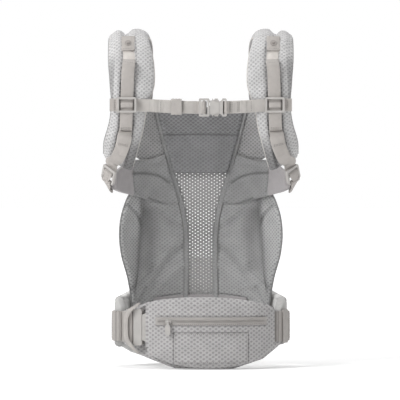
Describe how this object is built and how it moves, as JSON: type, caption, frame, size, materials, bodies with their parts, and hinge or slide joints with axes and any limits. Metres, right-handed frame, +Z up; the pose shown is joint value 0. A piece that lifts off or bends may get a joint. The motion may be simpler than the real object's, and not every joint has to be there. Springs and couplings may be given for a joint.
{
  "type": "soft baby carrier",
  "caption": "Soft structured baby carrier with padded waist belt, zipped lumbar pouch, mesh body panel, folding head support, shoulder straps, chest strap and side-release buckles.",
  "frame": {"origin": "on the ground under the middle of the carrier", "axes": "+X the wearer's right, +Y the way the wearer faces, +Z up"},
  "size_m": [0.3094, 0.2324, 0.5242],
  "materials": {
    "mesh_fabric": "matte",
    "pouch_mesh": "matte",
    "dark_mesh": "matte",
    "webbing": "matte",
    "elastic": "matte",
    "buckle_plastic": "satin",
    "zip": "matte",
    "zip_metal": "satin",
    "snap": "satin",
    "window_net": "matte",
    "foam": "matte"
  },
  "bodies": {
    "carrier": {"waist_belt_cover": "mesh_fabric", "waist_belt_foam": "foam", "lumbar_pad_cover": "mesh_fabric", "lumbar_pad_foam": "foam", "waist_webbing_left": "webbing", "waist_webbing_right": "webbing", "waist_tail_left": "webbing", "waist_tail_right": "webbing", "waist_keeper_right": "webbing", "waist_safety_loop": "elastic", "waist_buckle_socket": "buckle_plastic", "pouch_body": "pouch_mesh", "pouch_front_pocket": "pouch_mesh", "zip_tape": "zip", "zip_coil": "zip", "mesh_window": "window_net", "outer_base_panel": "mesh_fabric", "neck_pad": "dark_mesh", "seat_panel_left": "mesh_fabric", "seat_panel_right": "mesh_fabric", "thigh_pad_left": "mesh_fabric", "thigh_pad_right": "mesh_fabric", "trim_band_left": "dark_mesh", "trim_band_right": "dark_mesh", "side_wing_left": "mesh_fabric", "side_wing_right": "mesh_fabric", "strap_root_left": "mesh_fabric", "strap_root_right": "mesh_fabric", "shoulder_strap_left": "mesh_fabric", "shoulder_strap_right": "mesh_fabric", "shoulder_foam_left": "foam", "shoulder_foam_right": "foam", "rail_webbing_left": "webbing", "rail_webbing_right": "webbing", "snap_tab_left": "webbing", "snap_tab_right": "webbing", "snap_stud_left": "snap", "snap_stud_right": "snap", "wing_tab_left": "webbing", "wing_tab_right": "webbing", "strap_webbing_left": "webbing", "strap_webbing_right": "webbing"},
    "head_support": {"head_cushion": "dark_mesh", "head_backing": "mesh_fabric"},
    "zip_slider": {"zip_slider": "zip_metal"},
    "zip_pull": {"zip_pull": "zip_metal"},
    "waist_plug": {"waist_buckle_plug": "buckle_plastic"},
    "waist_prong_lower": {"waist_prong_lower": "buckle_plastic"},
    "waist_prong_upper": {"waist_prong_upper": "buckle_plastic"},
    "chest_strap": {"chest_slider_left": "buckle_plastic", "chest_slider_right": "buckle_plastic", "chest_webbing_left": "webbing", "chest_webbing_right": "webbing", "chest_keeper": "elastic", "chest_buckle_socket": "buckle_plastic"},
    "chest_plug": {"chest_buckle_plug": "buckle_plastic"},
    "chest_prong_lower": {"chest_prong_lower": "buckle_plastic"},
    "chest_prong_upper": {"chest_prong_upper": "buckle_plastic"},
    "adjuster_left": {"adjuster_left": "buckle_plastic"},
    "adjuster_right": {"adjuster_right": "buckle_plastic"}
  },
  "joints": [
    {"name": "head_support_fold", "type": "hinge", "parent": "carrier", "child": "head_support", "pos_m": [0, 0.0997, 0.3615], "axis": [-1, 0, 0], "range_deg": [0, 100]},
    {"name": "zip_travel", "type": "hinge", "parent": "carrier", "child": "zip_slider", "pos_m": [0, 0.0587, 0.0745], "axis": [0, 0, 1], "range_deg": [0, 46]},
    {"name": "zip_pull_swing", "type": "hinge", "parent": "zip_slider", "child": "zip_pull", "pos_m": [-0.05083, -0.11194, 0.0745], "axis": [-0.9584, 0.2855, 0], "range_deg": [0, 150]},
    {"name": "waist_buckle_release", "type": "slide", "parent": "carrier", "child": "waist_plug", "axis": [-0.8994, 0.4372, 0], "range_m": [0, 0.028], "deforming": ["waist_webbing_left"]},
    {"name": "chest_strap_height", "type": "slide", "parent": "carrier", "child": "chest_strap", "axis": [0, 0, 1], "range_m": [-0.015, 0.038]},
    {"name": "chest_buckle_release", "type": "slide", "parent": "chest_strap", "child": "chest_plug", "axis": [-1, 0, 0], "range_m": [0, 0.018], "deforming": ["chest_webbing_left"]},
    {"name": "waist_prong_lower_squeeze", "type": "hinge", "parent": "waist_plug", "child": "waist_prong_lower", "pos_m": [-0.08975, -0.0709, 0.04552], "axis": [-0.4372, -0.8994, 0], "range_deg": [0, 6], "stiffness_Nm_per_rad": 0.05},
    {"name": "waist_prong_upper_squeeze", "type": "hinge", "parent": "waist_plug", "child": "waist_prong_upper", "pos_m": [-0.08975, -0.0709, 0.08248], "axis": [0.4372, 0.8994, 0], "range_deg": [0, 6], "stiffness_Nm_per_rad": 0.05},
    {"name": "chest_prong_lower_squeeze", "type": "hinge", "parent": "chest_plug", "child": "chest_prong_lower", "pos_m": [0.01179, -0.0945, 0.39476], "axis": [0, -1, 0], "range_deg": [0, 6], "stiffness_Nm_per_rad": 0.015},
    {"name": "chest_prong_upper_squeeze", "type": "hinge", "parent": "chest_plug", "child": "chest_prong_upper", "pos_m": [0.01179, -0.0945, 0.41324], "axis": [0, 1, 0], "range_deg": [0, 6], "stiffness_Nm_per_rad": 0.015},
    {"name": "adjuster_left_tilt", "type": "hinge", "parent": "carrier", "child": "adjuster_left", "pos_m": [-0.14457, -0.05807, 0.29039], "axis": [0.6271, -0.6301, -0.458], "range_deg": [0, 25], "deforming": ["strap_webbing_left"]},
    {"name": "adjuster_right_tilt", "type": "hinge", "parent": "carrier", "child": "adjuster_right", "pos_m": [0.14457, -0.05807, 0.29039], "axis": [0.6271, 0.6301, 0.458], "range_deg": [0, 25], "deforming": ["strap_webbing_right"]}
  ]
}
